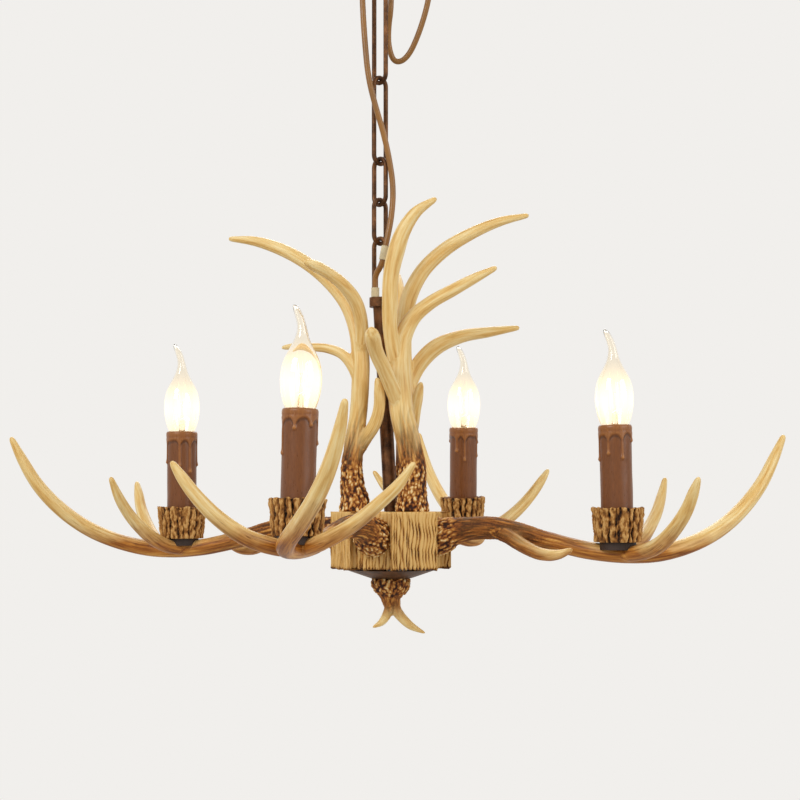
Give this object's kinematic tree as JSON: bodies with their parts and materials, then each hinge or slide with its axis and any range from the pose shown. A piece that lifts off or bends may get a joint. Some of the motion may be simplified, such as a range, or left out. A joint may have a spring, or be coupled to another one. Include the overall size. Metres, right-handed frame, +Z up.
{
  "type": "antler chandelier",
  "caption": "Chain-hung chandelier of antlers round a hub block, with candle lights in bark cups, upright antlers, a ceiling canopy and a forked finial.",
  "frame": {"origin": "where the chain's line meets the ceiling, at the centre of the ceiling bar's top face", "axes": "+Z up, -Y towards the viewer of the picture, +X to the right"},
  "size_m": [0.7361, 0.7257, 0.7479],
  "materials": {
    "bronze": "antique rust-brown bronze, satin",
    "steel": "zinc-plated steel",
    "terminal": "matt",
    "rubber": "matt",
    "antler": "antler: burred brown root, polished tan beam, cream tips",
    "hub": "straw tan with fine dark upright grooves",
    "bark": "rough brown bark",
    "sleeve": "satin brown, shaped like dripping wax",
    "holder": "satin black",
    "bulb_glass": "clear",
    "cap": "rolled thread",
    "filament": "glass mount with tungsten wire, lit",
    "cord": "golden brown, satin",
    "cord_sleeve": "pale",
    "wire": "satin"
  },
  "bodies": {
    "ceiling_mount": {"bar_nipple": "steel", "canopy": "bronze", "canopy_ring_nut": "bronze", "ceiling_bar": "steel", "ceiling_loop": "bronze", "ceiling_terminal_block": "terminal", "cord_grommet": "rubber", "nipple_lock_nut": "steel"},
    "first_link": {"chain_link_1": "bronze", "cord_slack": "cord"},
    "bulb_1": {"bulb_cap_1": "cap", "bulb_filament_1": "filament", "bulb_glass_1": "bulb_glass"},
    "bulb_2": {"bulb_cap_2": "cap", "bulb_filament_2": "filament", "bulb_glass_2": "bulb_glass"},
    "bulb_3": {"bulb_cap_3": "cap", "bulb_filament_3": "filament", "bulb_glass_3": "bulb_glass"},
    "bulb_4": {"bulb_cap_4": "cap", "bulb_filament_4": "filament", "bulb_glass_4": "bulb_glass"},
    "chandelier": {"arm_antler_1": "antler", "arm_antler_2": "antler", "arm_antler_3": "antler", "arm_antler_4": "antler", "arm_screws": "steel", "arm_wires": "wire", "candle_cup_1": "bark", "candle_cup_2": "bark", "candle_cup_3": "bark", "candle_cup_4": "bark", "candle_sleeve_1": "sleeve", "candle_sleeve_2": "sleeve", "candle_sleeve_3": "sleeve", "candle_sleeve_4": "sleeve", "chain_links": "bronze", "cord_sleeves": "cord_sleeve", "crown_antler_back": "antler", "crown_antler_left": "antler", "crown_antler_right": "antler", "crown_screws": "steel", "cup_pedestals": "bark", "finial": "antler", "finial_nut": "steel", "finial_rod": "steel", "holder_stalks": "steel", "hub_body": "hub", "hub_cover": "bronze", "hub_frame": "steel", "hub_terminal_block": "terminal", "lamp_holder_1": "holder", "lamp_holder_2": "holder", "lamp_holder_3": "holder", "lamp_holder_4": "holder", "stem_loop": "bronze", "stem_nut": "steel", "stem_rod": "steel", "stem_tube": "bronze", "supply_cord": "cord"}
  },
  "joints": [
    {"name": "swing_first_link", "type": "hinge", "parent": "ceiling_mount", "child": "first_link", "pos_m": [0, 0, -0.098], "axis": [0.7071, -0.7071, 0], "range_deg": [-10, 10], "deforming": ["cord_slack"]},
    {"name": "swing_chandelier", "type": "hinge", "parent": "first_link", "child": "chandelier", "pos_m": [0, 0, -0.1369], "axis": [0.7071, 0.7071, 0], "range_deg": [-10, 10]},
    {"name": "bulb_1_out", "type": "slide", "parent": "chandelier", "child": "bulb_1", "axis": [-0.0245, 0.0092, 0.9997], "range_m": [0, 0.026]},
    {"name": "bulb_2_out", "type": "slide", "parent": "chandelier", "child": "bulb_2", "axis": [0.0041, -0.0631, 0.998], "range_m": [0, 0.026]},
    {"name": "bulb_3_out", "type": "slide", "parent": "chandelier", "child": "bulb_3", "axis": [0, 0, 1], "range_m": [0, 0.026]},
    {"name": "bulb_4_out", "type": "slide", "parent": "chandelier", "child": "bulb_4", "axis": [0.0243, 0.0393, 0.9989], "range_m": [0, 0.026]}
  ]
}
